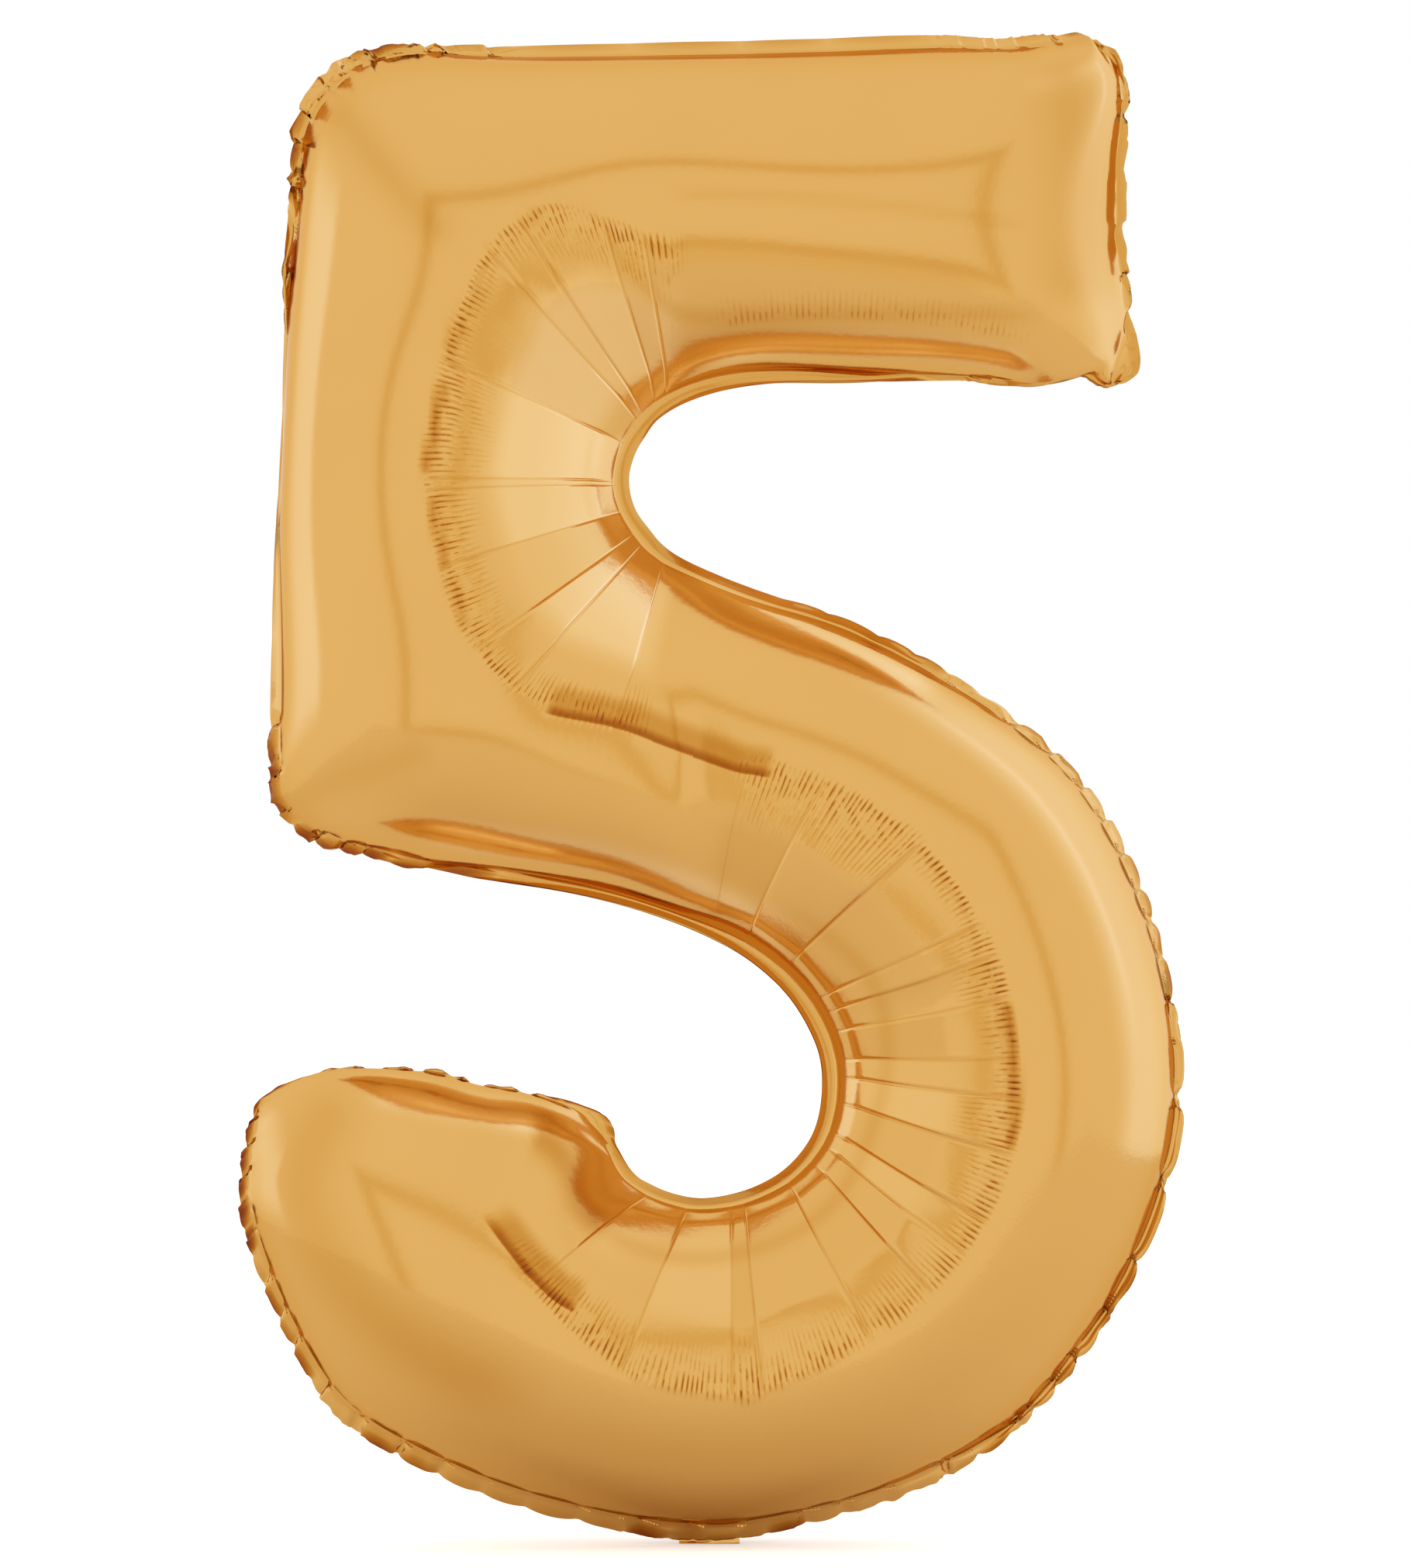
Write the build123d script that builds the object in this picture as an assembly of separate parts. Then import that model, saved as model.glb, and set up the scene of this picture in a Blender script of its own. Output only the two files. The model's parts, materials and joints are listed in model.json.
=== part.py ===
from build123d import *
from math import sqrt
import os

# Foil balloon in the shape of the digit five.
#
# Two film panels are welded together round their edge. A filling tail hangs from the
# foot of the bowl, and a flat self-sealing valve of two clear films runs through it
# into the balloon. Millimetres, +Z up, the front faces -Y, origin at the tail's neck.

# Outline of the welded edge, seen from the front
top = 896.0            # top edge of the bar
bar_end = 254.0        # right-hand end of the bar
bar_foot = 685.0       # underside of the bar
spine_top = -251.0     # left edge of the spine at the top
spine_foot = -263.0    # left edge of the spine at its foot
foot_corner = 414.0    # height of the spine's lower left corner
top_round = 52.0       # corner radius, top left
foot_round = 36.0      # corner radius, lower left
bay_x = 6.0            # centre of the upper bay's round end
bay_radius = 53.0
bay_z = bar_foot - bay_radius
bowl_right = 282.0     # the bowl's furthest reach to the right
bowl_left = -281.0     # and to the left, at the terminal
bowl_mid = 264.0       # height where the bowl is widest
inner_x = 67.0         # the lower bay's furthest reach to the right
inner_foot = 205.0     # lowest point of the lower bay
terminal_top = 272.0   # outer corner of the terminal
terminal_in = -58.0    # inner corner of the terminal
terminal_drop = 18.0   # how far the inner corner lies below the outer one

# Film
film = 0.8             # wall of each panel
weld = 9.0             # width of the welded margin
shut = 0.1             # hollow left between the panels at the two ends
end_round = 82.0       # length over which the stroke swells from an end

# Half depth of the balloon along the stroke
depth_bar = 80.0
depth_bend = 84.0
depth_diagonal = 74.0
depth_bowl = 82.0

# Tail and valve
tail_width = 36.0
tail_length = 60.0
tail_round = 4.0
tail_root = 1.9        # distance from the fold to the tail's root
fold_drop = 1.2        # distance from the weld's edge to the fold
tail_rest = 110.0      # the tail is tucked back and up behind the foot
valve_film = 0.3
valve_width = 28.0
valve_reach = 150.0    # height of the valve's inner end
valve_round = 6.0


def under_edge():
    """The edge that starts as the bar's underside and ends as the bowl's outside."""
    underside = Line((bar_end, bar_foot), (bay_x, bar_foot))
    bay = CenterArc((bay_x, bay_z), bay_radius, 90, 158)
    bowl = Spline(
        bay @ 1,
        (84, 547),
        (207, 470),
        (bowl_right, bowl_mid),
        (190, 70),
        (0, 0),
        (-150, 34),
        (-236, 98),
        (bowl_left, terminal_top - 64),
        (spine_foot, terminal_top),
        tangents=[bay % 1, (0.35, 1)],
    )
    return Wire([underside, bay, bowl])


def over_edge():
    """The edge that starts as the bar's top and ends inside the lower bay."""
    crown = Polyline(
        (bar_end, top),
        (spine_top, top),
        (spine_foot, foot_corner),
        (-120, foot_corner - 22),
    )
    corners = sorted(crown.vertices(), key=lambda v: v.X + 0.01 * v.Y)
    crown = Wire(crown.edges()).fillet_2d(foot_round, [corners[0]])
    corners = [v for v in crown.vertices() if abs(v.X - spine_top) + abs(v.Y - top) < 1]
    crown = crown.fillet_2d(top_round, corners)
    bay = Spline(
        (-120, foot_corner - 22),
        (-60, 381),
        (24, 345),
        (inner_x, 274),
        (44, 222),
        (-6, inner_foot),
        (-47, 222),
        (terminal_in, terminal_top - terminal_drop),
        tangents=[(1, -0.154), (-0.05, 1)],
    )
    return Wire(crown.edges() + bay.edges())


# Where the stroke's two edges pair off, as fractions of their lengths, and how
# many equal steps lead there from the pair before.
pairing = (
    (0.143, 0.193, 9),
    (0.188, 0.503, 22),
    (0.236, 0.742, 18),
    (0.336, 0.815, 8),
)
bowl_steps = 34        # equal steps from the last pair round the bowl
end_steps = (0, weld, weld + 1.5, weld + 5, weld + 13, weld + 25, weld + 40, weld + 56)


def stations():
    """Matching points on the two edges, from the bar's end to the terminal's."""
    under = under_edge()
    over = over_edge()
    marks = [(d / under.length, d / over.length) for d in end_steps]
    terminal = [(1 - a, 1 - b) for a, b in reversed(marks)]
    bowl = (terminal[0][0], terminal[0][1], bowl_steps)
    for last_under, last_over, steps in pairing + (bowl,):
        first_under, first_over = marks[-1]
        for k in range(1, steps + 1):
            f = k / steps
            marks.append(
                (
                    first_under + f * (last_under - first_under),
                    first_over + f * (last_over - first_over),
                )
            )
    return [(under @ a, over @ b) for a, b in marks + terminal[1:]]


def half_depth(walked, left, length):
    """Inner half depth at a station, from its distance to each end of the stroke."""
    f = walked / length
    knots = (
        (0.0, depth_bar),
        (0.16, depth_bar),
        (0.27, depth_bend),
        (0.42, depth_bend),
        (0.52, depth_diagonal),
        (0.66, depth_bowl),
        (1.0, depth_bowl),
    )
    depth = knots[-1][1]
    for (f0, d0), (f1, d1) in zip(knots, knots[1:]):
        if f0 <= f <= f1:
            depth = d0 + (d1 - d0) * (f - f0) / (f1 - f0)
            break
    inward = min(walked, left) - weld
    if inward <= 0:
        return shut
    swell = min(inward / end_round, 1)
    return shut + depth * sqrt(1 - (1 - swell) ** 2)


def section(under, over, depth):
    """Closed profile of the front film across the stroke: weld, dome, weld."""
    start = Vector(over.X, 0, over.Y)
    end = Vector(under.X, 0, under.Y)
    across = (end - start).normalized()
    half = (end - start).length / 2
    plane = Plane((start + end) / 2, x_dir=across, z_dir=across.cross(Vector(0, -1, 0)))
    foot = half - weld
    profile = [
        Line((-half, 0), (-foot, 0)),
        EllipticalCenterArc((0, 0), foot, depth, start_angle=0, arc_size=180),
        Line((foot, 0), (half, 0)),
        Line((half, 0), (half, film)),
        Line((half, film), (foot + film, film)),
        EllipticalCenterArc((0, film), foot + film, depth, start_angle=0, arc_size=180),
        Line((-foot - film, film), (-half, film)),
        Line((-half, film), (-half, 0)),
    ]
    return Wire([plane * edge for edge in profile])


def panel():
    """Front panel: one film with its welded margin."""
    pairs = stations()
    middles = [(a + b) / 2 for a, b in pairs]
    walked = [0.0]
    for before, after in zip(middles, middles[1:]):
        walked.append(walked[-1] + (after - before).length)
    wires = []
    for k, (under, over) in enumerate(pairs):
        from_start = weld if k == 1 else walked[k]
        to_end = weld if k == len(pairs) - 2 else walked[-1] - walked[k]
        wires.append(section(under, over, half_depth(from_start, to_end, walked[-1])))
    return Solid.make_loft(wires, ruled=True)


def strip(width, low, high, near, far):
    """Flat film between two heights, its thickness running from near to far in Y."""
    centre = Location((0, (near + far) / 2, (low + high) / 2))
    return centre * Box(width, far - near, high - low)


def rounded(solid, radius, height):
    """The solid with its upright corners at one end rounded."""
    corners = [e for e in solid.edges().filter_by(Axis.Y) if abs(e.center().Z - height) < 0.1]
    return solid.fillet(radius, corners)


# The two panels, with a shallow channel through the weld for the valve
channel = strip(valve_width, -1, weld + 1, -valve_film, valve_film)
front_film = panel()
front_panel = front_film - channel
rear_panel = mirror(front_film, about=Plane.XZ) - channel

# Tail, drawn hanging and then swung back about the fold
fold = Axis((0, 0, -fold_drop), (1, 0, 0))
tail_high = -fold_drop - tail_root
tail_low = tail_high - tail_length
mouth = strip(valve_width, tail_low - 1, tail_high + 1, -valve_film, valve_film)
tail_front = rounded(strip(tail_width, tail_low, tail_high, -film, 0), tail_round, tail_low)
tail_rear = rounded(strip(tail_width, tail_low, tail_high, 0, film), tail_round, tail_low)
mouth_front = strip(valve_width, tail_low, tail_high, -valve_film, 0)
mouth_rear = strip(valve_width, tail_low, tail_high, 0, valve_film)

# Valve inside the balloon
valve_front = rounded(strip(valve_width, 0.5, valve_reach, -valve_film, 0), valve_round, valve_reach)
valve_rear = rounded(strip(valve_width, 0.5, valve_reach, 0, valve_film), valve_round, valve_reach)

nodes = {
    "front_panel": front_panel,
    "rear_panel": rear_panel,
    "valve_front_film": valve_front,
    "valve_rear_film": valve_rear,
    "tail_front_film": (tail_front - mouth).rotate(fold, tail_rest),
    "tail_rear_film": (tail_rear - mouth).rotate(fold, tail_rest),
    "mouth_front_film": mouth_front.rotate(fold, tail_rest),
    "mouth_rear_film": mouth_rear.rotate(fold, tail_rest),
}

os.makedirs("parts", exist_ok=True)
for name, shape in nodes.items():
    export_step(shape, f"parts/{name}.step")
    box = shape.bounding_box()
    print(f"{name}: {len(shape.solids())} solid, {shape.volume / 1000:.1f} cm3, size {box.size}")
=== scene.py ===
# %% [markdown]
# # A foil balloon in the shape of the digit five
# A foil balloon is two sheets of metallised film, cut to one outline and welded
# together round the edge. Flat, it is a dull cut-out. Blown up, the sheets can't
# stretch, so they pull the outline in and the spare film folds into pleats on the
# inside of every bend. This notebook lets a small simulation find the blown-up
# shape, because it comes from the cut and the pressure, and is hard to sculpt by
# hand. Folds that are finer than its net are added afterwards by formula.

# %% Load the frame
import bpy
import json
import time
import numpy as np
from math import atan, pi, radians
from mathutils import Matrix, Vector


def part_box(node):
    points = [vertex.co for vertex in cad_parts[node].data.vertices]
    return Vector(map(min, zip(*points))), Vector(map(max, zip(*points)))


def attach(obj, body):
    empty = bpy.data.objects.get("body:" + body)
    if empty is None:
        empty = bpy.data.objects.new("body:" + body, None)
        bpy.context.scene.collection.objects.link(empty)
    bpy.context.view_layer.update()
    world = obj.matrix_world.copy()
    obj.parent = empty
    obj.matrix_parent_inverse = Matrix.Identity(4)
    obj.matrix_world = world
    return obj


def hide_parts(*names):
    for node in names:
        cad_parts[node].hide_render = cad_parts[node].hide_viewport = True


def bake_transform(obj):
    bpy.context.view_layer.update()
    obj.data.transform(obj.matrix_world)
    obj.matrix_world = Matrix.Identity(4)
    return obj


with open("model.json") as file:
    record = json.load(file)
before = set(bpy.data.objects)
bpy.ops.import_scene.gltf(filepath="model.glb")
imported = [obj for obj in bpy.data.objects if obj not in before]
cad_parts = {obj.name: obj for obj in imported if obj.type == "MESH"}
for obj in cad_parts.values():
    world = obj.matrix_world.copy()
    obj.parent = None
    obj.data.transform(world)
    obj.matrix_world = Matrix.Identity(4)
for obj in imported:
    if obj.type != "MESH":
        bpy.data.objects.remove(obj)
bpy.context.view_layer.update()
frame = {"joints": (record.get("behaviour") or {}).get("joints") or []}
panel_low, panel_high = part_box("front_panel")

# %% [markdown]
# ## The camera
# The balloon is looked at square on and from far away, so that its outline is
# hardly changed by perspective. A long lens does that. The view is centred on the
# balloon's box, within 3 mm, and is a little taller than it.

# %% Camera, square on from the front
middle_x, middle_z = -0.0023, (panel_low[2] + panel_high[2]) / 2 + 0.0026
view_height = 0.9327   # metres seen from top to bottom at the balloon
distance = 6.0
camera = bpy.data.objects.new("camera", bpy.data.cameras.new("camera"))
bpy.context.scene.collection.objects.link(camera)
camera.location = (middle_x, -distance, middle_z)
camera.rotation_euler = (radians(90), 0, 0)
sensor = 36            # mm
camera.data.sensor_width = sensor
camera.data.lens = sensor * distance / view_height
camera.data.clip_end = 60
bpy.context.scene.camera = camera
half_angle = atan(view_height / 2 / distance) * 180 / pi
print("lens, mm:", round(camera.data.lens), " half angle:", round(half_angle, 2))

# %% [markdown]
# ## The outline
# The welded edge is one closed line. It is easier to handle as a strip: the stroke
# of the digit runs from the bar's right-hand end, round the spine and the bowl, to
# the terminal. One long edge starts as the bar's underside, the other as the bar's
# top, and two short ends close the strip. A few points per edge are enough, with a
# smooth curve through them.

# %% Points along the four edges of the stroke, in millimetres (x, z)
under_points = [
    (254, 692), (243, 687), (230, 688), (221, 692.5), (205, 692.5), (190, 691), (120, 690),
    (48, 689.5), (2, 683), (-30, 667), (-46, 640), (-46, 620), (-36, 603), (-16, 585),
    (24, 568), (83, 549), (154, 511), (221, 456), (262, 382),
    (282, 290), (276, 216), (245, 142), (188, 69), (129, 32), (70, 12), (-7, 0), (-96, 14), (-160, 36),
    (-219, 69), (-248, 112), (-277, 179), (-281, 216), (-274, 253), (-265, 268),
]
over_points = [
    (243, 889), (214, 897), (168, 895.5), (131, 897.5), (60, 895), (-16, 893), (-120, 891),
    (-195, 891.5), (-226, 880), (-244, 856), (-250, 830), (-252.5, 760), (-255, 660), (-260, 560),
    (-262.5, 460), (-257, 433), (-238, 416.5), (-200, 406), (-145, 395.5), (-71, 383.5), (-7, 364),
    (39, 333), (62, 299), (67, 271), (60, 240), (36, 216), (-4, 205),
    (-40, 216), (-54, 234), (-56, 246), (-60, 254),
]
bar_end_points = [
    (243, 889), (247.5, 875), (249, 840), (248.5, 780), (250.5, 735), (256, 713), (257.5, 701), (254, 692),
]
terminal_points = [
    (-60, 254), (-69, 260), (-90, 265), (-127, 271), (-164, 280), (-215, 281), (-250, 276), (-265, 268),
]


def smooth_line(points, per_span=24):
    """A curve through the points: on each span it is the cubic whose end slopes
    are half the step between the two neighbouring points."""
    p = np.array(points, float)
    q = np.vstack([2 * p[0] - p[1], p, 2 * p[-1] - p[-2]])
    u = np.linspace(0, 1, per_span, endpoint=False)[None, :, None]
    a, b, c, d = q[:-3, None], q[1:-2, None], q[2:-1, None], q[3:, None]
    r = 0.5 * (2 * b + (c - a) * u + (2 * a - 5 * b + 4 * c - d) * u**2 + (3 * b - a - 3 * c + d) * u**3)
    return np.vstack([r.reshape(-1, 2), p[-1]])


def walked_along(curve):
    """Length walked from the curve's start to each of its points."""
    return np.r_[0, np.cumsum(np.linalg.norm(np.diff(curve, axis=0), axis=1))]


def walk(curve, fractions):
    """Points at those fractions of the curve's length."""
    steps = walked_along(curve)
    at = np.asarray(fractions) * steps[-1]
    return np.stack([np.interp(at, steps, curve[:, k]) for k in (0, 1)], -1)


under_line, over_line = smooth_line(under_points), smooth_line(over_points)
for name, line in (("under", under_line), ("over", over_line)):
    print(name, "edge, mm:", round(np.linalg.norm(np.diff(line, axis=0), axis=1).sum()))

# %% [markdown]
# ## Two grids: the inflated outline and the flat cut
# Both sheets are the same grid: columns across the stroke, rows along it. The table
# below says which fractions of the two long edges lie opposite each other, so that
# a row always crosses the stroke squarely. The flat cut is the same grid pushed
# outwards. On the outside of a bend and along the straights the film has to reach
# further, and at the inside of a bend the weld keeps its length, so hardly anything
# is added there.

# %% Rows across the stroke
along = 176            # cells along the stroke in the first, coarse grid
across = 16            # cells across it, the first and last of them in the weld
weld = 9.0             # width of the welded margin, mm
rounding = 0.10        # share of the rows over which the table's corners are rounded
opposite = np.array([
    # place along the stroke, fraction of the under edge, fraction of the over edge
    (0, 0, 0), (0.165, 0.164, 0.177), (0.20, 0.170, 0.262), (0.24, 0.1765, 0.36),
    (0.28, 0.185, 0.455), (0.32, 0.1965, 0.53), (0.37, 0.209, 0.615), (0.44, 0.2175, 0.735),
    (0.52, 0.262, 0.792), (0.57, 0.33, 0.812), (0.62, 0.41, 0.837), (0.665, 0.48, 0.862),
    (0.71, 0.555, 0.885), (0.755, 0.635, 0.906), (0.80, 0.715, 0.929), (0.85, 0.80, 0.953),
    (0.895, 0.875, 0.967), (0.955, 0.966, 0.978), (1, 1, 1),
])


def paired_fractions(rows):
    """The table above with its corners rounded by a sliding weighted mean."""
    s = np.linspace(0, 1, rows + 1)
    kernel = np.hanning(int(rows * rounding) | 1)
    kernel /= kernel.sum()
    half = len(kernel) // 2
    out = []
    for column in (1, 2):
        f = np.interp(s, opposite[:, 0], opposite[:, column])
        f = np.pad(f, half, mode="reflect", reflect_type="odd")
        f = np.convolve(f, kernel, "valid")
        out.append((f - f[0]) / (f[-1] - f[0]))
    return out


def fill_patch(under, over, start, end):
    """A grid inside four edges: the straight grid between the long edges, plus the
    one between the short edges, less the one between the four corners."""
    s = np.linspace(0, 1, len(under))[:, None, None]
    t = np.linspace(0, 1, len(start))[None, :, None]
    grid = (1 - t) * over[:, None] + t * under[:, None] + (1 - s) * start[None] + s * end[None]
    corners = (1 - s) * (1 - t) * over[0] + (1 - s) * t * under[0]
    corners = corners + s * (1 - t) * over[-1] + s * t * under[-1]
    return grid - corners


def outward(line, inner):
    """Unit normals of a line, pointing away from the inner line."""
    d = np.pad(np.gradient(line, axis=0), ((4, 4), (0, 0)), mode="edge")
    d = np.stack([np.convolve(d[:, k], np.ones(9) / 9, "valid") for k in (0, 1)], 1)
    n = np.stack([d[:, 1], -d[:, 0]], 1) / np.linalg.norm(d, axis=1, keepdims=True)
    return n * np.sign(((line - inner) * n).sum(1).mean())


def weld_columns(grid, width):
    """Moves the columns so that the first and last cells are as wide as the weld."""
    t = np.linspace(0, 1, grid.shape[1])
    out = np.empty_like(grid)
    for i, w in enumerate(width):
        at = np.r_[0, np.linspace(weld / w, 1 - weld / w, grid.shape[1] - 2), 1]
        out[i] = np.stack([np.interp(at, t, grid[i, :, k]) for k in (0, 1)], -1)
    return out


fraction_under, fraction_over = paired_fractions(along)
under_edge, over_edge = walk(under_line, fraction_under), walk(over_line, fraction_over)
t = np.linspace(0, 1, across + 1)
start_edge, end_edge = walk(smooth_line(bar_end_points), t), walk(smooth_line(terminal_points), t)
outline = fill_patch(under_edge, over_edge, start_edge, end_edge)

# %% The flat cut
# How far the flat edge lies outside the inflated one, by fraction of each edge, mm
under_spare = [
    (0, 18), (0.04, 28), (0.10, 28), (0.15, 12), (0.19, 3), (0.24, 14), (0.30, 34), (0.37, 48),
    (0.45, 55), (0.92, 52), (0.97, 30), (1, 16),
]
over_spare = [
    (0, 26), (0.05, 42), (0.193, 48), (0.33, 60), (0.503, 64), (0.64, 56), (0.72, 44), (0.78, 30),
    (0.84, 13), (0.90, 3), (1, 2),
]
end_spare = (24, 6)    # beyond the bar's end and the terminal


def eased(table, fractions):
    """The table's straight runs, with corners rounded by a sliding weighted mean."""
    f = np.linspace(-0.05, 1.05, 441)
    kernel = np.hanning(33)
    value = np.pad(np.interp(f, *np.array(table).T), len(kernel) // 2, mode="edge")
    value = np.convolve(value, kernel / kernel.sum(), "valid")
    return np.interp(fractions, f, value)[:, None]


centre = (under_edge + over_edge) / 2
s = np.linspace(0, 1, along + 1)[:, None]
pull = 0
end_part = 12          # the ends' spare film is spread over this part of the stroke, 1 in 12
for spare, d, near in (
    (end_spare[0], outline[0].mean(0) - outline[3].mean(0), 1 - s * end_part),
    (end_spare[1], outline[-1].mean(0) - outline[-4].mean(0), 1 - (1 - s) * end_part),
):
    pull = pull + spare * d / np.linalg.norm(d) * np.clip(near, 0, 1)
flat_under = under_edge + pull + outward(under_edge, centre) * eased(under_spare, fraction_under)
flat_over = over_edge + pull + outward(over_edge, centre) * eased(over_spare, fraction_over)


def carried(edge, first, last):
    """A short end moved so that it runs between two new corners."""
    v = np.linspace(0, 1, len(edge))[:, None]
    return first * (1 - v) + last * v + edge - (edge[0] * (1 - v) + edge[-1] * v)


flat_start = carried(start_edge, flat_over[0], flat_under[0])
flat_end = carried(end_edge, flat_over[-1], flat_under[-1])
flat = fill_patch(flat_under, flat_over, flat_start, flat_end)
flat = weld_columns(flat, np.linalg.norm(flat_under - flat_over, axis=1))
print("flat cut, mm:", np.ptp(flat[..., 0]).round(), "by", np.ptp(flat[..., 1]).round())

# %% [markdown]
# ## The welded margin
# The weld is two films thick and has no pressure on it. On the outside of a bend it is too long for its new
# place, so it gathers into lobes with sharp notches between them, like a pie crust. The lobes lean to the
# back, so that from the front they show as narrow slips, and some of them get painted brown shade, for
# light that gets in between a lobe and the dome comes out after several bounces. Inside a bend the weld is
# stretched, stays smooth, and leans to the front, where it mirrors the dome.
# Real lobes come from chance in the film and the filling, so their widths, depths
# and leans are drawn at random round a mean that is given along each edge.

# %% Lobes along each edge
lobe_chance = np.random.default_rng(8)
# Distance along the edge as a fraction, mean width of a lobe, depth of its notches, mm
under_lobes = [
    (0, 14, 2.5), (0.02, 30, 0.8), (0.04, 40, 0), (0.235, 40, 0), (0.27, 30, 2.2), (0.31, 24, 3.6),
    (0.45, 26, 3.6), (0.47, 56, 4.0), (0.54, 50, 3.6), (0.56, 24, 3.8), (0.70, 20, 3.4),
    (0.722, 20, 0.9), (0.76, 22, 0.9), (0.785, 34, 3.2), (0.88, 22, 3.6), (1, 18, 3.4),
]
over_lobes = [
    (0, 9, 2.4), (0.03, 30, 1.4), (0.06, 60, 0.9), (0.27, 60, 0.9), (0.29, 16, 3.0), (0.36, 17, 3.0),
    (0.38, 70, 0.5), (0.58, 60, 0.5), (0.60, 17, 3.2), (0.655, 15, 3.0), (0.68, 40, 0.6), (0.72, 40, 0),
    (0.975, 40, 0), (0.985, 9, 1.5), (1, 7, 2.2),
]
start_lobes = [(0, 9, 1.6), (0.15, 20, 2.2), (0.25, 44, 2.8), (0.8, 40, 2.6), (1, 24, 1.6)]
end_lobes = [(0, 8, 1.8), (0.2, 11, 2.0), (0.3, 40, 3.0), (0.4, 62, 3.2), (0.75, 48, 3.2), (1, 18, 2.4)]
# How far the rim leans to the back by fraction, mm; below 0 it leans to the front
under_lean = [
    (0, -2), (0.04, -4.5), (0.12, -5), (0.22, -5.5), (0.30, -5), (0.35, 5), (0.45, 6.5), (0.70, 6.5),
    (0.725, 0.8), (0.76, 0.8), (0.785, 6.5), (1, 7),
]
over_lean = [
    (0, 3), (0.05, 7), (0.25, 7.5), (0.29, 8), (0.36, 8), (0.5, 7), (0.62, 5), (0.68, 0),
    (0.76, -5), (0.95, -5.5), (1, 0),
]
start_lean = [(0, 2), (0.2, -3.5), (0.8, -4), (1, -2)]
end_lean = [(0, 0), (0.2, 6), (0.4, 7.5), (1, 7)]
furthest_lean = 8.4    # mm
wide_lobe = 45         # a wider lobe is drawn pale, mm
deep_painted_shade = 2.5        # a lobe with deeper painted shade keeps it until just before the dome


class Margin:
    """One edge of the outline, with its lobes and its lean."""

    def __init__(self, line, lobes, lean):
        self.line, self.lean = line, np.array(lean)
        self.length = np.linalg.norm(np.diff(line, axis=0), axis=1).sum()
        at, width, depth = np.array(lobes).T
        notches = [0.0]
        while notches[-1] < self.length:
            mean = np.interp(notches[-1] / self.length, at, width)
            notches.append(notches[-1] + mean * lobe_chance.uniform(0.8, 1.25))
        self.notches = np.array(notches) * self.length / notches[-1]
        depths = np.interp(self.notches / self.length, at, depth)
        self.depths = depths * lobe_chance.uniform(0.7, 1.15, len(notches))
        self.leans = lobe_chance.uniform(-1, 1, len(notches))
        # How much painted shade each lobe gets, drawn at random
        self.painted_darks = lobe_chance.choice([0.1, 0.4, 1.4, 2.4], len(notches), p=[0.3, 0.3, 0.2, 0.2])
        self.painted_darks[:-1][np.diff(self.notches) > wide_lobe] = 0.4

    def lobe(self, fractions):
        """The lobe each fraction lies on, how far across it and its bow, a half sine."""
        at = np.asarray(fractions) * self.length
        k = np.clip(np.searchsorted(self.notches, at, side="right") - 1, 0, len(self.notches) - 2)
        across = (at - self.notches[k]) / (self.notches[k + 1] - self.notches[k])
        return k, across, np.sin(pi * np.clip(across, 0, 1))

    def points(self, fractions, inner, share):
        """x, y and z along the edge. The notch is a cusp: its depth times one less a
        power of the bow. y is the lean, a little more or less from lobe to lobe."""
        flat = walk(self.line, fractions)
        away = outward(flat, inner)
        k, across, bow = self.lobe(fractions)
        depth = self.depths[k] * (1 - across) + self.depths[k + 1] * across
        flat = flat - away * (share * depth * (1 - bow**0.6))[:, None]
        y = np.interp(fractions, *self.lean.T) + 0.5 * depth * self.leans[k] * bow
        y = share * np.clip(y, -furthest_lean, furthest_lean)
        return np.stack([flat[:, 0], y, flat[:, 1]], -1).astype(np.float32)

    def shadow(self, fractions, inward):
        """The painted shade on the margin, from the rim at inward 0 to the dome at 1. Inside a bend it is
        light. Elsewhere it is the lobe's painted darkness times a power of its bow, and falls towards the
        dome."""
        k, _, bow = self.lobe(fractions)
        front = np.clip(-np.interp(fractions, *self.lean.T) / 4, 0, 1)
        dark = self.painted_darks[k]
        fade = (1 - inward) ** np.where(dark > deep_painted_shade, 0.6, 1.5)
        return front * (0.2 + 0.15 * inward) + (1 - front) * dark * bow**0.7 * fade


under_margin = Margin(under_line, under_lobes, under_lean)
over_margin = Margin(over_line, over_lobes, over_lean)
start_margin = Margin(smooth_line(bar_end_points), start_lobes, start_lean)
end_margin = Margin(smooth_line(terminal_points), end_lobes, end_lean)
# Round the terminal and at the spine's foot the lobes get deep painted shade
end_margin.painted_darks[:5] = 3.5
end_margin.painted_darks[5:] = 2.8
under_margin.painted_darks[under_margin.notches > 0.93 * under_margin.length] = 3.5
over_margin.painted_darks[-4:] = 1.8
place = over_margin.notches / over_margin.length
over_margin.painted_darks[(place > 0.58) & (place < 0.69)] = 2.8
print("lobes:", [len(m.notches) - 1 for m in (under_margin, over_margin, start_margin, end_margin)])

# %% Where the four edges have to go
short_edge = 200       # rough length of the two short edges, mm
in_bar, in_bowl = np.array([[0.0, 790]]), np.array([[-160.0, 150]])   # points inside the ends


def margins(rows, columns, share):
    """Goals of the four edges on a grid of that many cells."""
    fine, coarse = np.linspace(0, 1, rows + 1), np.linspace(0, 1, along + 1)
    under, over = np.interp(fine, coarse, fraction_under), np.interp(fine, coarse, fraction_over)
    mid = (walk(under_line, under) + walk(over_line, over)) / 2
    t = np.r_[0, np.linspace(weld / short_edge, 1 - weld / short_edge, columns - 1), 1]
    return {
        "over": over_margin.points(over, mid, share),
        "under": under_margin.points(under, mid, share),
        "start": start_margin.points(t, in_bar, share),
        "end": end_margin.points(t, in_bowl, share),
    }


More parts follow.
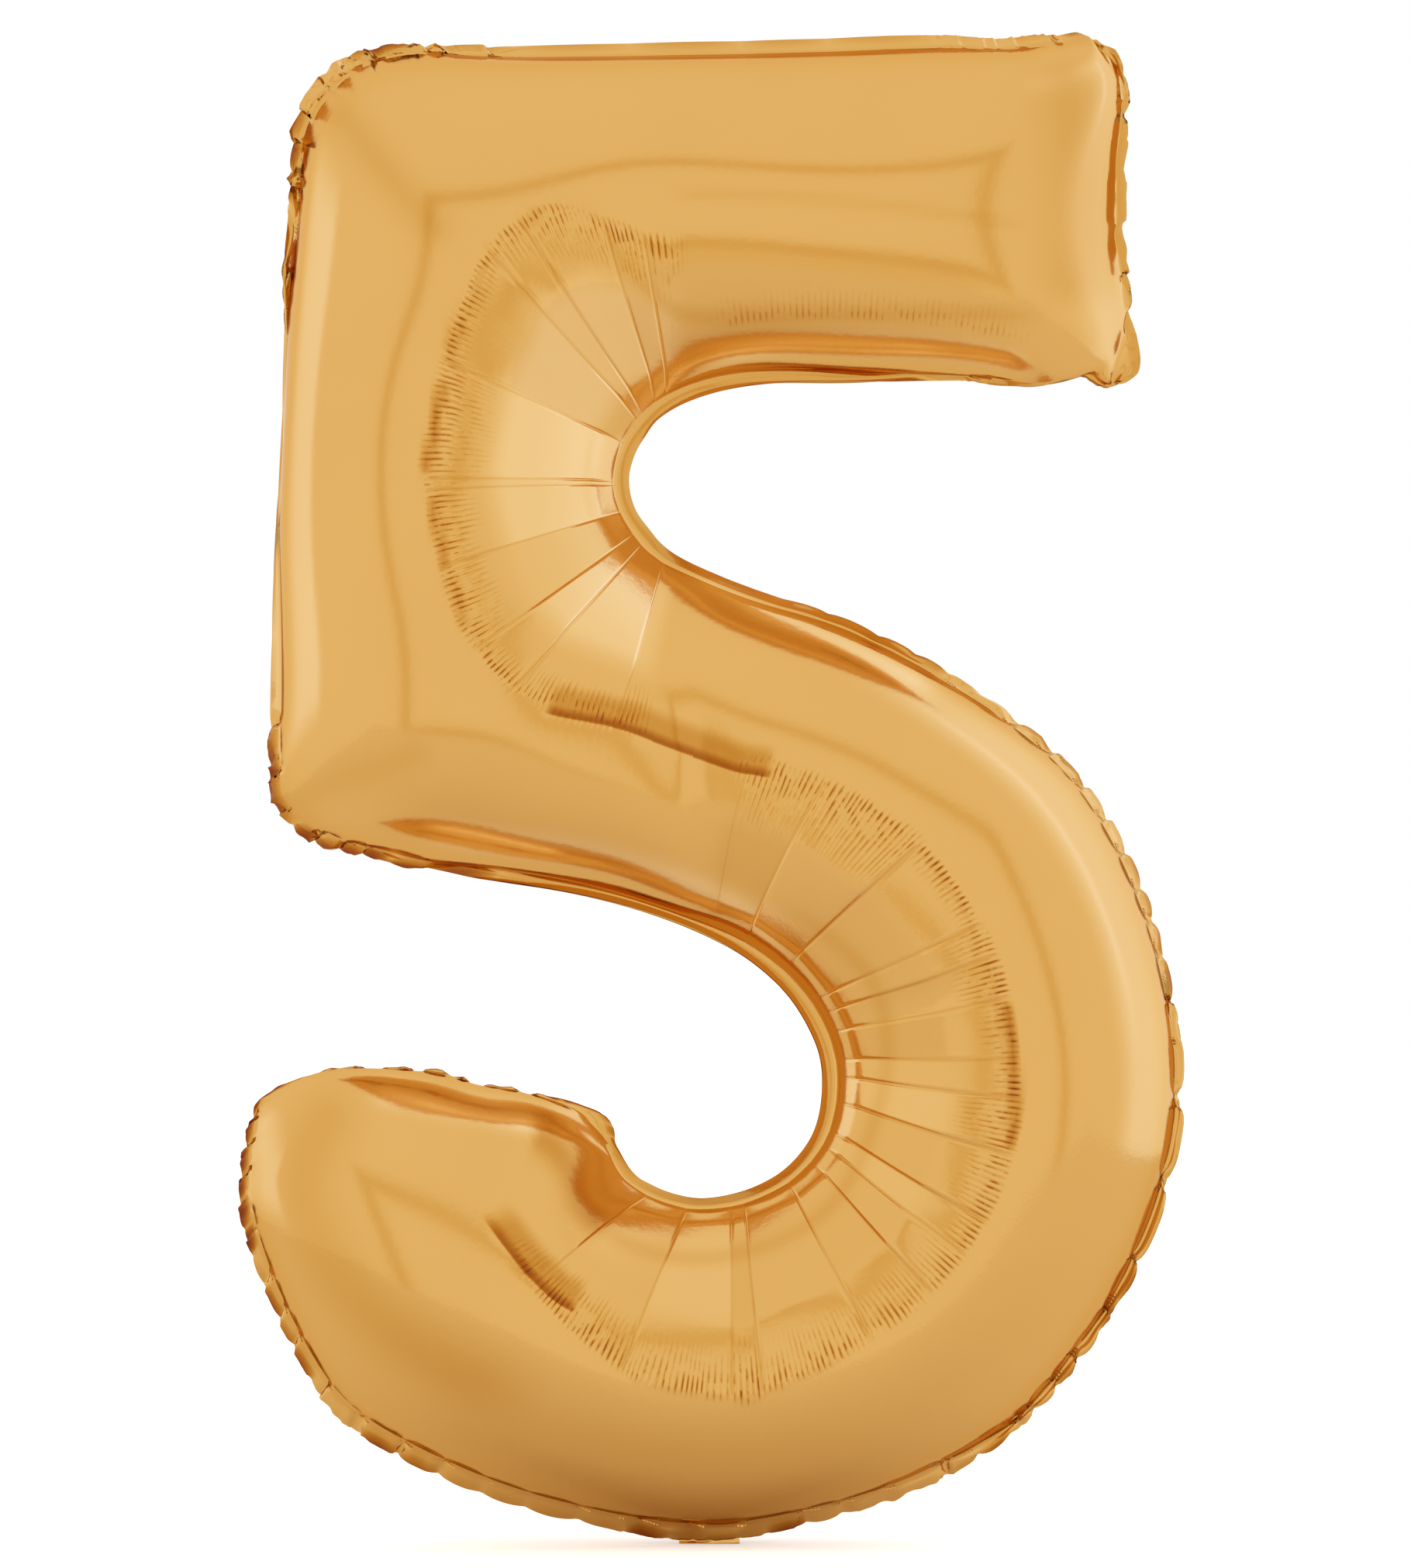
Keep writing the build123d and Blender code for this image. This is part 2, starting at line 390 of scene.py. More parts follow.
# %% [markdown]
# ## Blowing it up
# Each sheet is a net of threads as long as they are in the flat cut. Every step
# pushes the net outwards along its normals, then puts each thread back to its
# length, and glues the two sheets together in the weld. Film doesn't stretch, so
# threads resist pulling fully. They resist pushing only a little, so that the film
# gives smoothly, apart from those in the weld, which has to fold. The net is
# settled coarse first, then its cells are halved, so the folds grow finer.

# %% The threads of the net
# Each runs that many rows and columns on
threads = ((1, 0), (0, 1), (1, 1), (1, -1))
stays = ((0, 8), (0, 4), (0, 2), (8, 0), (4, 0), (2, 0))
stay_share = 0.3       # share of a stay's error that each of its ends takes up
outwards = np.array([1, -1], np.float32)[:, None, None, None]   # for the two sheets
tiny = 1e-9            # keeps a length of nothing from dividing by nothing


def ends(grid, step):
    """The two ends of every thread that runs that many rows and columns on."""
    n, m = grid.shape[-3], grid.shape[-2]
    ds, dt = step
    if dt >= 0:
        return grid[..., : n - ds, : m - dt, :], grid[..., ds:, dt:, :]
    return grid[..., : n - ds, -dt:, :], grid[..., ds:, : m + dt, :]


def length(grid, step):
    """Flat length of each thread of one kind."""
    a, b = ends(grid, step)
    return np.linalg.norm(b - a, axis=-1).astype(np.float32)


def size_of(vectors):
    """Their lengths."""
    return np.sqrt(np.einsum("...k,...k->...", vectors, vectors))


def pull_threads(net, rest, push):
    """Moves both ends of each thread by half its error, every other thread at a
    time so that no point is moved twice. A short thread's error counts times push."""
    for k in threads:
        a, b = ends(net, k)
        for odd in (0, 1):
            halves = (slice(odd, None, 2),) if k[0] else (slice(None), slice(odd, None, 2))
            every = (slice(None),) + halves
            d = b[every] - a[every]
            error = 0.5 - 0.5 * rest[k][every[1:]] / (size_of(d) + tiny)
            error = np.where(error > 0, error, error * push[k][every[1:]])
            d *= error[..., None]
            a[every] += d
            b[every] -= d


def pull_stays(net, rest):
    """Long threads that only stop stretching, so that tension travels quickly."""
    for k in stays:
        a, b = ends(net, k)
        d = b - a
        error = np.maximum(1 - rest[k] / (size_of(d) + tiny), 0) * stay_share
        d *= error[..., None]
        a += d
        b -= d


def quad_sum(values, like):
    """Adds each cell's value to its four corners."""
    out = np.zeros_like(like)
    out[..., 1:, 1:, :] += values
    out[..., :-1, :-1, :] += values
    out[..., 1:, :-1, :] += values
    out[..., :-1, 1:, :] += values
    return out


def crossed(grid):
    """Cross product of each cell's diagonals: twice its area, along its normal."""
    first = grid[..., 1:, 1:, :] - grid[..., :-1, :-1, :]
    return np.cross(first, grid[..., :-1, 1:, :] - grid[..., 1:, :-1, :])


def pushes(net):
    """Vectors as long as the area round each point and square to the film. They
    point out of the front sheet and into the rear one."""
    return quad_sum(crossed(net), net)


def normals(net):
    """The same vectors, one long."""
    n = pushes(net)
    return n / (size_of(n)[..., None] + tiny)


def weld_parts(w):
    """The points within w cells of the edge: the two ends, then the two sides."""
    return np.s_[: w + 1], np.s_[-w - 1 :], np.s_[:, : w + 1], np.s_[:, -w - 1 :]


def glue(net, w):
    """The two sheets share their points in the weld."""
    for part in weld_parts(w):
        both = 0.5 * (net[0][part] + net[1][part])
        net[0][part] = both
        net[1][part] = both


# %% How much the threads resist pushing
def push_map(grid, w, film, welded):
    """Resistance to pushing at each point, turned into one value per thread."""
    k = np.full(grid.shape[:2], film)
    for part in weld_parts(w):
        k[part] = welded
    return {key: np.minimum(*ends(k[..., None], key))[..., 0].astype(np.float32) for key in threads}


# %% One level of the simulation
kept_speed = 0.9       # share of its speed that a point keeps from step to step
most_push = 2.5        # a point is pushed as if its area were at most this many means
hold = 0.06            # share of the way to its goal that an edge moves in a step
edge_places = {"over": np.s_[:, 0], "under": np.s_[:, -1], "start": np.s_[0], "end": np.s_[-1]}


def stiffen_weld(net, w, share=0.2):
    """The weld resists bending: its points move towards their neighbours' mean."""
    for part in (np.s_[:, :, : w + 1], np.s_[:, :, -w - 1 :]):
        band = net[part]
        band[:, 1:-1] += share * (0.5 * (band[:, :-2] + band[:, 2:]) - band[:, 1:-1])
    for part in (np.s_[:, : w + 1], np.s_[:, -w - 1 :]):
        band = net[part]
        band[:, :, 1:-1] += share * (0.5 * (band[:, :, :-2] + band[:, :, 2:]) - band[:, :, 1:-1])


def settle(net, flat, goals, w, steps, pressure, push):
    """Blows the net up for a number of steps, while the weld's edge is drawn
    towards its goals."""
    rest = {k: length(flat, k) for k in threads + stays}
    mean_area = quad_sum(np.abs(crossed(flat))[..., None], flat[..., :1]).mean()
    inside = np.zeros(net.shape[1:3] + (1,), np.float32)
    inside[w:-w, w:-w] = 1
    load = (pressure / mean_area * inside * outwards).astype(np.float32)
    speed = np.zeros_like(net)
    for _ in range(steps):
        before = net.copy()
        push_out = pushes(net)
        area = size_of(push_out)[..., None]
        net += speed * kept_speed + load * push_out * np.minimum(1, most_push * mean_area / (area + tiny))
        for name, goal in goals.items():
            for sheet in net:
                sheet[edge_places[name]] += hold * (goal - sheet[edge_places[name]])
        pull_stays(net, rest)
        pull_threads(net, rest, push)
        stiffen_weld(net, w)
        glue(net, w)
        speed = net - before
    return net


def halve(grid, axes=(-3, -2)):
    """Twice the cells: new points lie on the cubic through their four neighbours."""
    for axis in axes:
        g = np.moveaxis(grid, axis, 0)
        mid = 0.5 * (g[1:] + g[:-1])
        mid[1:-1] = (9 * (g[2:-1] + g[1:-2]) - (g[3:] + g[:-3])) / 16
        out = np.empty((2 * len(g) - 1,) + g.shape[1:], g.dtype)
        out[::2], out[1::2] = g, mid
        grid = np.moveaxis(out, 0, axis)
    return grid


# %% Keep the rows evenly spaced
def ramp(a, b, x):
    """0 before a, 1 after b, smooth between."""
    y = np.clip((x - a) / (b - a), 0, 1)
    return y * y * (3 - 2 * y)


def even_out(net, rounds):
    """Moves each point towards the mean of its neighbours along the stroke. The
    weight falls to nothing near the seams, which keep their small folds."""
    t = np.linspace(0, 1, net.shape[2])
    s = np.linspace(0, 1, net.shape[1])
    from_seam = ramp(0.05, 0.10, t) * (1 - ramp(0.90, 0.95, t))
    from_end = ramp(0.012, 0.03, s) * (1 - ramp(0.97, 0.988, s))
    weight = (0.5 * from_seam[None] * from_end[:, None])[None, 1:-1, :, None].astype(np.float32)
    for _ in range(rounds):
        net[:, 1:-1] += weight * (0.5 * (net[:, :-2] + net[:, 2:]) - net[:, 1:-1])
    return net


# %% Run it, coarse to fine
began = time.time()
net = np.zeros((2,) + flat.shape[:2] + (3,), np.float32)
net[..., [0, 2]] = flat
# The sheets start as a low pillow, 6 mm to each side, with random dents of 0.3 mm
t = np.linspace(0, 1, across + 1)[None]
swell = 6 * np.sqrt(1 - (2 * t - 1) ** 2) * np.sqrt(np.clip(np.minimum(s, 1 - s) * end_part, 0, 1))
net[0, ..., 1], net[1, ..., 1] = -swell, swell
net[..., 1] += np.random.default_rng(1).normal(0, 0.3, flat.shape[:2])

# weld cells, steps, pressure, resistance of film and weld, share of the lobes' depth
levels = [
    (1, 400, 0.05, 0.03, 0.3, 0), (2, 250, 0.02, 0.05, 1.0, 0.5),
    (4, 120, 0.01, 0.05, 1.0, 1), (4, 40, 0.006, 0.05, 1.0, 1),
]
for number, (w, steps, pressure, film, welded, share) in enumerate(levels):
    if number:
        axes = (-3, -2) if number < 3 else (-3,)
        net, flat = halve(net, axes), halve(flat, axes)
    push = push_map(flat, w, film, welded)
    goals = margins(net.shape[1] - 1, net.shape[2] - 1, share)
    net = settle(net, flat, goals, w, steps * 3 // 4, pressure, push)
    net = settle(even_out(net, 12 * w * w), flat, goals, w, steps // 4, pressure, push)
    cells = f"{net.shape[1] - 1} by {net.shape[2] - 1} cells"
    print(f"level {number}: {cells}, depth {np.ptp(net[..., 1]):.0f} mm")
print("simulated in", round(time.time() - began), "s")

# %% [markdown]
# ## Smooth domes
# A net of cells crumples into more small waves than film does, and in film the two
# sheets of a balloon swell alike. So the two domes are drawn together, as mirror
# images, and evened out along the stroke, and the two ends are calmed all round.

# %% Even out the domes
mirror = np.array([1, -1, 1], np.float32)
t = np.linspace(0, 1, net.shape[2])
inner = (ramp(0.06, 0.16, t) * (1 - ramp(0.84, 0.94, t)))[None, :, None].astype(np.float32)
mean = 0.5 * (net[0] + net[1] * mirror)
net[0] += inner * (mean - net[0])
net[1] += inner * (mean * mirror - net[1])
net = even_out(net, 160)

# %% Calm the two ends
def calm(net, rounds, weight, across=0.5):
    """Moves each point by a weight towards the mean of its neighbours, where those
    across the stroke count for that share and those along it for the rest."""
    weight = 0.5 * weight[None, 1:-1, 1:-1, None].astype(np.float32)
    for _ in range(rounds):
        around = (1 - across) * (net[:, :-2, 1:-1] + net[:, 2:, 1:-1])
        around += across * (net[:, 1:-1, :-2] + net[:, 1:-1, 2:])
        net[:, 1:-1, 1:-1] += weight * (around - 2 * net[:, 1:-1, 1:-1])
    return net


# From here on w, the cells across the weld, is the last level's
rows_s = np.linspace(0, 1, net.shape[1])
to_end, to_seam = (np.minimum(np.arange(n), np.arange(n)[::-1]) for n in net.shape[1:3])
near_end = ramp(w, w + 4, to_end) * (1 - ramp(42, 70, to_end))
net = calm(net, 30, near_end[:, None] * ramp(w, w + 2, to_seam))

# %% [markdown]
# ## Facets and combs in the inner half of each bend
# At the inside of a bend the film is pulled tight from the weld up to the crest, so between a few long
# creases it lies in flat facets. Past the crest it has to turn back into a smooth tube, and the length it
# has too much is taken up by a comb of fine short folds. Each facet is the straight surface between its two
# creases, tilted a little by chance, and the comb is a row of ridges on the crest. What is finer than the
# net goes into marks, numbers on the points that the gold finish reads. The marks also carry painted shade
# in the creases, the comb and dark stretches of the crest, and painted highlight on the facets.

# %% The two bends and the marks
# Creases: places along the stroke. Crest: places along and across it. Rim: the column by the weld. Facet
# highlight: how much lighter a facet is painted. Painted dark lines: stretches of the crest painted with
# shade, from, to and how dark.
upper_bend = {
    "creases": (
        0.158, 0.177, 0.190, 0.213, 0.224, 0.2564, 0.3004, 0.305, 0.337, 0.368, 0.385, 0.431, 0.455,
    ),
    "crest": (
        (0.15, 0.58), (0.175, 0.57), (0.203, 0.50), (0.236, 0.53), (0.295, 0.485), (0.368, 0.54),
        (0.407, 0.52), (0.455, 0.49),
    ),
    "rim": 0.92,
    "facet_highlight": 0.2,
    "painted_dark_lines": (
        (0.262, 0.300, 0.8), (0.306, 0.340, 0.55), (0.340, 0.362, 0.3), (0.242, 0.255, 0.45),
        (0.205, 0.214, 0.4),
    ),
}
lower_bend = {
    "creases": (
        0.515, 0.5285, 0.560, 0.597, 0.6275, 0.6385, 0.652, 0.6715, 0.683, 0.700, 0.7213, 0.733, 0.748,
        0.770, 0.8033, 0.812, 0.845, 0.8845, 0.905,
    ),
    "crest": (
        (0.515, 0.47), (0.544, 0.484), (0.606, 0.50), (0.66, 0.50), (0.697, 0.516), (0.729, 0.531),
        (0.768, 0.54), (0.8075, 0.59), (0.84, 0.56), (0.863, 0.50), (0.905, 0.40),
    ),
    "rim": 0.08,
    "facet_highlight": 0.02,
    "painted_dark_lines": ((0.652, 0.700, 0.9), (0.8845, 0.895, 0.5)),
}
# fold: painted shade, how much darker the gold is painted where light is trapped in folds; below 0 it is
# painted highlight. along: the way along a crest, m. inward: the way from the crest to the rim, in lengths
# of the comb's teeth. teeth: how strong the comb and its painted shade are. furrow: how strong a furrow's
# painted shade is. above: how far above it the point lies, m.
mark_names = ("fold", "along", "inward", "teeth", "furrow", "above")
marks = {name: np.zeros(net.shape[:3], np.float32) for name in mark_names}
marks["above"] += 0.05          # further than a furrow reaches
chance = np.random.default_rng(5)
tooth = 3.6                     # from one fold of a comb to the next, mm
drift, drift_every = 0.9, 13    # the comb wanders by this much over that length, mm
tooth_lengths = (7, 11, 16, 22) # mm, one drawn for each facet
tilts = (-2.2, 1.6)             # how far a facet tilts in or out, mm
ridge_height = 0.5              # mm
crease_depth = 0.6              # mm
fade_rows = 28                  # rows over which the folds of a bend begin and end
knee, foot_q = 0.33, 0.88       # a facet bends once more at the knee and ends at the foot


def out_of(side):
    """Unit vectors out of one sheet."""
    return normals(net)[side] * (1 if side == 0 else -1)


def at_share(rows_of_points, column):
    """The point of each row at a column that isn't a whole number."""
    low = np.clip(np.floor(column).astype(int), 0, rows_of_points.shape[1] - 2)
    i = np.arange(len(low))
    share = (column - low)[:, None]
    return (1 - share) * rows_of_points[i, low] + share * rows_of_points[i, low + 1]


# %% Folding one bend
def pleat(side, bend):
    """Folds one sheet at one bend. q is 0 on the crest and 1 on the rim by the weld.
    Between two creases a point goes to the straight line between them, then part of
    the way to a straight line across, and the comb adds ridges whose height is a
    power of the sine of the length walked along the crest."""
    grid = net[side]
    n, m = grid.shape[0] - 1, grid.shape[1] - 1
    creases = np.round(np.array(bend["creases"]) * n).astype(int)
    first, last = creases[0], creases[-1]
    rows = np.arange(first, last + 1)
    crest = np.interp(rows / n, *np.array(bend["crest"]).T)[:, None]
    t = np.linspace(0, 1, m + 1)[None]
    q = (t - crest) / (bend["rim"] - crest)
    k = np.clip(np.searchsorted(creases, rows, side="right") - 1, 0, len(creases) - 2)
    low, high = creases[k], creases[k + 1]
    a = ((rows - low) / (high - low))[:, None, None]
    old = grid[first : last + 1].copy()
    facet = (1 - a) * grid[low] + a * grid[high]
    new = old + (ramp(-0.03, 0.10, q) * (1 - ramp(0.9, 1.02, q)))[..., None] * (facet - old)
    for q0, q1, blend in ((0.0, knee, 0.4), (knee, foot_q, 0.6)):
        columns = [(crest[:, 0] + q_end * (bend["rim"] - crest[:, 0])) * m for q_end in (q0, q1)]
        start, end = (at_share(new, column)[:, None] for column in columns)
        f = np.clip((q - q0) / (q1 - q0), 0, 1)[..., None]
        inside = ((q > q0) & (q < q1))[..., None]
        new = np.where(inside, new + blend * (start * (1 - f) + end * f - new), new)
    parts = len(creases) - 1
    out = out_of(side)[first : last + 1]
    tilt = (chance.uniform(*tilts, parts)[k] * np.sin(pi * a[:, 0, 0]) ** 0.25)[:, None]
    new += (tilt * np.clip(np.minimum(q / knee, (foot_q - q) / (foot_q - knee)), 0, 1))[..., None] * out
    # the comb
    line = at_share(old, crest[:, 0] * m)
    walked = walked_along(line)
    steps = np.arange(0, walked[-1] + 20, drift_every)
    along = walked + np.interp(walked, steps, chance.normal(0, drift, len(steps)))
    width = np.linalg.norm(np.diff(old, axis=1), axis=2).sum(1)[:, None]
    inward = q * np.abs(bend["rim"] - crest) * width
    reach = chance.choice(tooth_lengths, parts)[k][:, None]
    strong = chance.uniform(0.7, 1.4, parts)[k] * np.sin(pi * a[:, 0, 0]) ** 0.25
    ridge = np.abs(np.sin(pi * along / tooth)) ** 0.7 - 0.6
    comb = 0.7 * (1 - ramp(2, 8, inward)) + 0.3 * (1 - ramp(0.5, 1.1, inward / reach))
    comb = ramp(-3.5, 0.5, inward) * comb
    new += (ridge_height * (strong * ridge)[:, None] * comb)[..., None] * out
    # the long creases
    near = np.abs(rows[:, None] - creases[None]).min(1) * walked[-1] / len(rows)
    groove = np.exp(-((near / 1.3) ** 2))[:, None] * ramp(-0.02, 0.05, q) * (1 - ramp(0.85, 1.0, q))
    new -= (crease_depth * groove)[..., None] * out
    ends = ramp(first, first + fade_rows, rows) * (1 - ramp(last - fade_rows, last, rows))
    grid[first : last + 1] = old + ends[:, None, None] * (new - old)
    # the marks: painted shade along the creases and on the crest's dark lines, painted highlight on the
    # facets, and the comb's place for the finish
    part = np.s_[side, first : last + 1]
    crease_shade = np.exp(-((near / 0.9) ** 2))[:, None] * ramp(-0.04, 0.03, q) * (1 - ramp(0.75, 1.0, q))
    facet_highlight = (bend["facet_highlight"] + chance.uniform(-0.12, 0.12, parts)[k])[:, None]
    facet_highlight = facet_highlight * ramp(0.22, 0.4, q) * (1 - ramp(0.75, 0.95, q))
    marks["fold"][part] = ends[:, None] * (crease_shade * (0.25 + 0.25 * ramp(0.5, 0.9, q)) - facet_highlight)
    for start, end, dark in bend["painted_dark_lines"]:
        on = ramp(start, start + 0.004, rows / n) * (1 - ramp(end - 0.004, end, rows / n))
        marks["fold"][part] += dark * on[:, None] * ramp(-3.3, 0.5, inward) * (1 - ramp(0.5, 5, inward))
    marks["along"][part] = (along / 1000)[:, None]
    marks["inward"][part] = inward / reach
    marks["teeth"][part] = (ends * strong)[:, None] * (q < 1)


for side in (0, 1):
    pleat(side, upper_bend)
    pleat(side, lower_bend)
diagonal = ramp(0.43, 0.455, rows_s) * (1 - ramp(0.51, 0.535, rows_s))
net = calm(net, 500, 0.7 * diagonal[:, None] * ramp(w + 3, w + 9, to_seam), across=0)
print("marks on each point:", ", ".join(mark_names))

# %% [markdown]
# ## Furrows, painted shade and painted highlights
# Where a comb ends, its last fold often runs on as a long furrow with a sharp lower lip, and painted shade
# darkens its lip and the film above it. Elsewhere soft brown shade is painted where the film would dip,
# without sinking it, and painted highlight makes a strip that is pulled taut look paler. Each of them
# follows a path of (x, z) points in millimetres, and fades at both ends of it.

# %% Things that follow a path
def fade(share, length):
    """0 at both ends of a path and 1 between; each change takes that length of it."""
    return ramp(0, length, share) * (1 - ramp(1 - length, 1, share))


def around(side, path, reach):
    """The points of a sheet in the box round a path: which they are, how far each is
    from the nearest point of the path's curve, how far along the curve that is, from
    0 to 1, the side it lies on, 1 left and -1 right, and the length walked, in mm."""
    line = smooth_line(path)
    flat = net[side][..., [0, 2]]
    inside = ((flat > line.min(0) - reach) & (flat < line.max(0) + reach)).all(-1)
    offset = flat[inside][:, None] - line[None]
    away = np.einsum("...k,...k->...", offset, offset)
    near = away.argmin(1)
    best = offset[np.arange(len(near)), near]
    tangent = np.gradient(line, axis=0)[near]
    turn = np.sign(tangent[:, 0] * best[:, 1] - tangent[:, 1] * best[:, 0])
    past = (best * tangent).sum(1) / np.linalg.norm(tangent, axis=1)
    return inside, np.sqrt(away.min(1)), near / (len(line) - 1), turn, walked_along(line)[near] + past


furrow_reach = 40       # mm
lip = 2.5               # width of a furrow's steep side, mm


def furrow(side, path, depth, soft):
    """Sinks a groove along a path. It is deepest on the path, comes up gently on its
    left, as exp(-distance / soft), and within the lip's width on its right."""
    inside, away, share, turn, _ = around(side, path, furrow_reach)
    left = turn >= 0
    sunk = np.where(left, np.exp(-away / soft), np.clip(1 - away / lip, 0, 1))
    net[side][inside] -= (depth * fade(share, 0.12) * sunk)[:, None] * out_of(side)[inside]
    # Marks for the furrow's painted shade: its strength, and each point's height above the path
    strength = np.where(left, 1 - ramp(22, 30, away), 1 - ramp(6, 12, away))
    marks["furrow"][side][inside] += fade(share, 0.12) * strength
    above = marks["above"][side][inside]
    marks["above"][side][inside] = np.where(away < furrow_reach, away * turn / 1000, above)


def paint_shade_along(side, path, width, amount):
    """Painted shade along a path, or a painted highlight where the amount is below 0: amount times
    exp(-(distance / width) squared)."""
    inside, away, share, _, _ = around(side, path, 3 * width)
    marks["fold"][side][inside] += amount * fade(share, 0.15) * np.exp(-((away / width) ** 2))


def small_comb(side, path, reach, strength):
    """Marks for a faint comb along a path, which the finish draws as bump ridges and painted shade. Its
    teeth point to the path's left and are reach mm long."""
    inside, away, share, turn, walked = around(side, path, 2 * reach)
    marks["along"][side][inside] = walked / 1000
    marks["inward"][side][inside] = away * turn / reach
    marks["teeth"][side][inside] = strength * fade(share, 0.15) * (1 - ramp(1.3, 1.9, away / reach))


# %% Where they run
# A furrow runs on from the upper comb to the lower one, and another out of the lower
# comb's far end: path, depth, softness of the gentle side, mm
furrows = (
    (((-98, 494), (-86, 491), (-52, 484), (-23, 473), (12, 460), (27, 457), (38, 455)), 0.8, 10),
    (((-134, 198), (-112, 169), (-102, 158), (-90, 147), (-78, 140)), 0.8, 7),
)
# Painted shade runs from the corners to the bends and beside the seams: path, width, shade
painted_shades = (
    (((-226, 858), (-205, 830), (-178, 796), (-150, 765)), 11, 0.17),
    (((-252, 436), (-222, 452), (-190, 462), (-160, 476)), 10, 0.1),
    (((-30, 798), (18, 797), (80, 793), (140, 786), (196, 778)), 3.5, 0.12),
    (((-60, 768), (-20, 730), (30, 728), (90, 728), (150, 728), (205, 726)), 5, 0.2),
    (((205, 885), (216, 840), (217, 780), (214, 725)), 20, 0.2),
    (((-200, 268), (-228, 250), (-240, 212), (-226, 172), (-193, 135), (-147, 106), (-90, 84)), 19, 0.2),
    (((-106, 243), (-95, 238), (-84, 224), (-76, 200), (-58, 184)), 9, 0.55),
    (((-84, 232), (-76, 204), (-50, 180), (-8, 170), (40, 180), (76, 206), (98, 252), (105, 296),
      (96, 334), (66, 364), (30, 388)), 5, 0.18),
)
# Painted highlights: paler strips where the taut film beside a seam catches more light
painted_gleams = (
    (((-180, 425), (-120, 417), (-57, 406), (16, 379), (52, 350)), 8, -0.4),
    (((-21, 580), (34, 553), (88, 530), (143, 502)), 7, -0.35),
    (((-10, 700), (51, 711), (143, 708), (195, 697)), 6, -0.3),
    (((-205, 270), (-165, 262), (-125, 256), (-98, 250)), 7, -0.5),
)
# A faint comb along the bar's underside, bump ridges and painted shade: path, length of the teeth, strength
bar_comb = (((-2, 721), (30, 725), (75, 727), (130, 723), (196, 712)), 10, 0.32)
for side in (0, 1):
    for path, depth, soft in furrows:
        furrow(side, path, depth, soft)
    for path, width, amount in painted_shades + painted_gleams:
        paint_shade_along(side, path, width, amount)
    small_comb(side, *bar_comb)
print(len(furrows), "furrows,", len(painted_shades), "hollows and", len(painted_gleams), "gleams on each sheet")

# %% [markdown]
# ## Beside the seams
# On the inside of a bend the weld pulls the film next to it into a flat strip, which shows one clear line
# of light. Along the other edges the shade that the lobes cast on each other and on the film beside them is
# painted into the marks.

# %% Taut strips beside the inner seams
def tighten(side, column, step, share):
    """Pulls the strip of that many columns beside a seam towards a straight line
    across, by a share that varies along the stroke."""
    grid = net[side]
    first, last = grid[:, column].copy(), grid[:, column + step].copy()
    for k in range(1, abs(step)):
        f = k / abs(step)
        c = column + (k if step > 0 else -k)
        grid[:, c] += share[:, None] * (first * (1 - f) + last * f - grid[:, c])


# 1 where the edge is on the inside of a bend, and 0 elsewhere
inner_under = np.interp(rows_s, (0.02, 0.08, 0.40, 0.48), (0, 1, 1, 0))
inner_over = np.interp(rows_s, (0.48, 0.56, 0.94, 0.98), (0, 1, 1, 0))
taut_cells, taut_share = 5, 0.8
for side in (0, 1):
    tighten(side, w, taut_cells, taut_share * inner_over)
    tighten(side, net.shape[2] - 1 - w, -taut_cells, taut_share * inner_under)

# %% Painted shade on the margin and beside the seams
coarse = np.linspace(0, 1, along + 1)
on_over, on_under = (np.interp(rows_s, coarse, f) for f in (fraction_over, fraction_under))
on_end = np.linspace(0, 1, net.shape[2])
seam_shade = (0.16, 0.08, 0.032)   # painted shade in the three cells next to the weld
for c in range(w + len(seam_shade)):
    for margin, part, place, inner in (
        (over_margin, np.s_[:, :, c], on_over, inner_over),
        (under_margin, np.s_[:, :, -1 - c], on_under, inner_under),
        (start_margin, np.s_[:, c], on_end, 0),
        (end_margin, np.s_[:, -1 - c], on_end, 0),
    ):
        margin_shade = margin.shadow(place, c / w) if c < w else seam_shade[c - w] * (1 - inner)
        marks["fold"][part] += margin_shade

# %% [markdown]
# ## The two panels
# The net becomes two meshes, one per panel. Each keeps a UV map in metres that
# follows the flat film, so that a pattern in the material runs with the film. The
# panels lie on each other in the weld, so each is moved out by half the film.

# %% Mesh helpers
def add_mesh(name, points, faces, uv=None):
    """A mesh object in metres at the origin, smooth shaded."""
    mesh = bpy.data.meshes.new(name)
    mesh.from_pydata(points.reshape(-1, 3).tolist(), [], faces.tolist())
    mesh.polygons.foreach_set("use_smooth", np.ones(len(mesh.polygons), bool))
    if uv is not None:
        layer = mesh.uv_layers.new(name="film")
        loops = np.empty(len(mesh.loops), np.int32)
        mesh.loops.foreach_get("vertex_index", loops)
        layer.data.foreach_set("uv", uv.reshape(-1, 2)[loops].astype(np.float32).ravel())
    mesh.update()
    piece = bpy.data.objects.new(name, mesh)
    bpy.context.scene.collection.objects.link(piece)
    return piece


def grid_faces(rows, columns, flip=False):
    """Quads of a grid of points, numbered row by row."""
    i = np.arange(rows * columns).reshape(rows, columns)
    quads = np.stack([i[:-1, :-1], i[1:, :-1], i[1:, 1:], i[:-1, 1:]], -1).reshape(-1, 4)
    return quads[:, ::-1] if flip else quads


# %% Front and rear panel
film_gap = 0.06         # mm
skin = net + film_gap * normals(net) * outwards
panels = []
for side, (name, node) in enumerate((("front_foil", "front_panel"), ("rear_foil", "rear_panel"))):
    rows, columns = skin.shape[1:3]
    piece = add_mesh(name, skin[side] / 1000, grid_faces(rows, columns, flip=side == 1), flat / 1000)
    for mark, values in marks.items():
        piece.data.attributes.new(mark, "FLOAT", "POINT").data.foreach_set("value", values[side].ravel())
    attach(piece, "balloon")
    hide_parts(node)
    panels.append(piece)
    print(name, "triangles:", 2 * len(piece.data.polygons))
